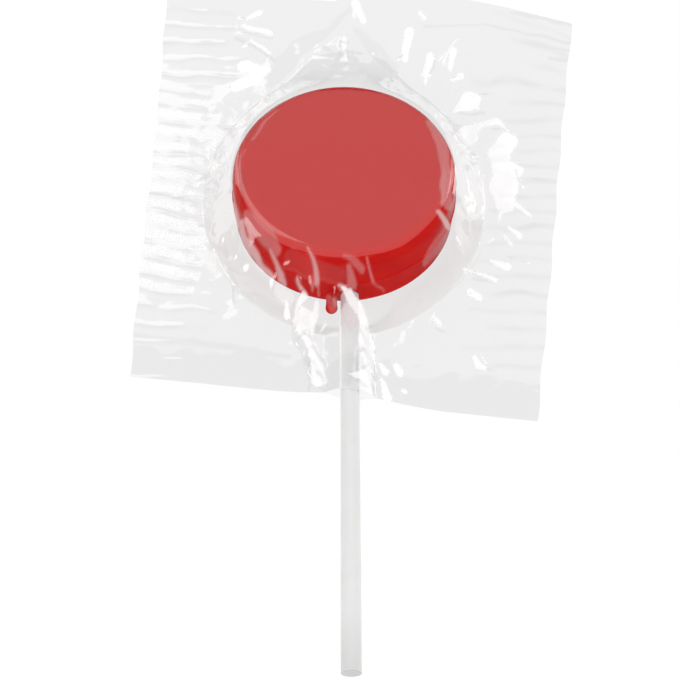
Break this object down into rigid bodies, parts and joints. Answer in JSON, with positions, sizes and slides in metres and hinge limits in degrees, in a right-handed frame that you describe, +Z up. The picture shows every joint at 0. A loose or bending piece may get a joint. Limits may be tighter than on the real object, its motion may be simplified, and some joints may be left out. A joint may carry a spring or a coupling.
{
  "type": "fruit lollipop in a clear wrapper",
  "caption": "Flat round red candy on a white stick, in a square clear film wrapper with crimped side bands, lying face up.",
  "frame": {"origin": "the point of the flat spot under the wrapper that lies on the candy's own axis, so the floor is z = 0", "axes": "+Z up out of the candy's face, +Y from the stick's free end towards the candy, +X to the right seen from the stick's end"},
  "size_m": [0.0761, 0.1217, 0.0156],
  "materials": {
    "red_candy": "glossy translucent boiled sugar",
    "white_stick": "smooth satin white",
    "clear_film": "clear glossy wrapping film"
  },
  "bodies": {
    "root": {"candy": "red_candy", "stick": "white_stick", "wrapper": "clear_film"}
  },
  "joints": []
}
